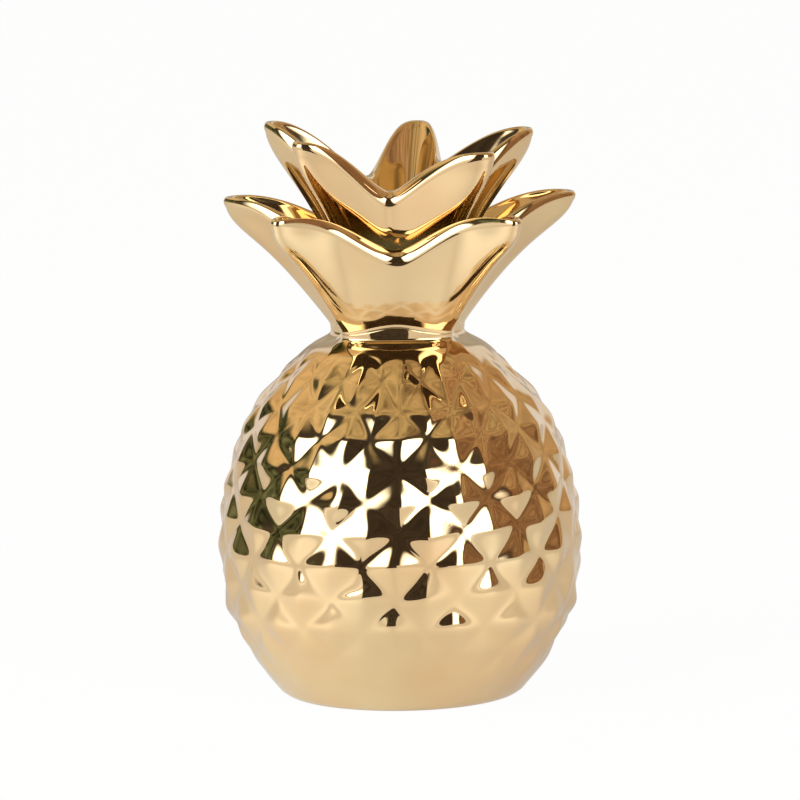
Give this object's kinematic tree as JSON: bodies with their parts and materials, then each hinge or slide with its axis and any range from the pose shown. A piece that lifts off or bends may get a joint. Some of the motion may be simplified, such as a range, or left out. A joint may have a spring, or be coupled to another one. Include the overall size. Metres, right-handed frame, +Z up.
{
  "type": "coin bank",
  "caption": "Pineapple-shaped ceramic coin bank with diamond relief, a two-tier leaf crown, a slot in the upper back and a pull-out stopper underneath.",
  "frame": {"origin": "centre of the foot ring on the surface that the bank stands on", "axes": "+Z up through the crown, -Y is the front that the picture shows, +Y is the back with the coin slot"},
  "size_m": [0.0934, 0.0932, 0.1461],
  "materials": {
    "gold_glaze": "mirror-bright gold lustre over glazed earthenware",
    "stopper_rubber": "matt moulded rubber"
  },
  "bodies": {
    "bank": {"fruit_body": "gold_glaze", "lower_leaf_tier": "gold_glaze", "upper_leaf_tier": "gold_glaze"},
    "stopper": {"base_stopper": "stopper_rubber"}
  },
  "joints": [
    {"name": "stopper_pull", "type": "slide", "parent": "bank", "child": "stopper", "axis": [0, 0, -1], "range_m": [0, 0.035]}
  ]
}
